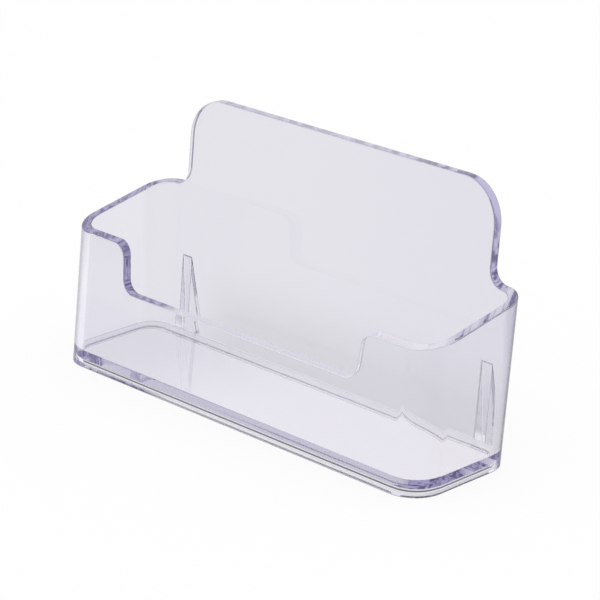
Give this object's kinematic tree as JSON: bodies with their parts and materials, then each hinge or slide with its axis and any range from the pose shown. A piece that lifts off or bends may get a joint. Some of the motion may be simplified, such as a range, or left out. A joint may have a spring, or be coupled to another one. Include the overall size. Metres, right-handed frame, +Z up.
{
  "type": "business card holder",
  "caption": "Clear moulded desk stand for business cards: a shallow pocket leaning back, a tall rounded back panel, a low front notch between ears and wedge ribs behind.",
  "frame": {"origin": "middle of the holder's footprint, on the table", "axes": "+Z up, +X to the right of someone facing the notch, +Y towards the back panel"},
  "size_m": [0.0964, 0.0306, 0.0495],
  "materials": {
    "clear_plastic": "clear injection-moulded polystyrene, polished, with a faint violet tint in its edges"
  },
  "bodies": {
    "root": {"floor_plate": "clear_plastic", "front_lip": "clear_plastic", "left_front_ear": "clear_plastic", "right_front_ear": "clear_plastic", "front_left_corner": "clear_plastic", "front_right_corner": "clear_plastic", "left_side_wall": "clear_plastic", "right_side_wall": "clear_plastic", "back_left_corner": "clear_plastic", "back_right_corner": "clear_plastic", "back_panel": "clear_plastic", "left_rear_rib": "clear_plastic", "right_rear_rib": "clear_plastic"}
  },
  "joints": []
}
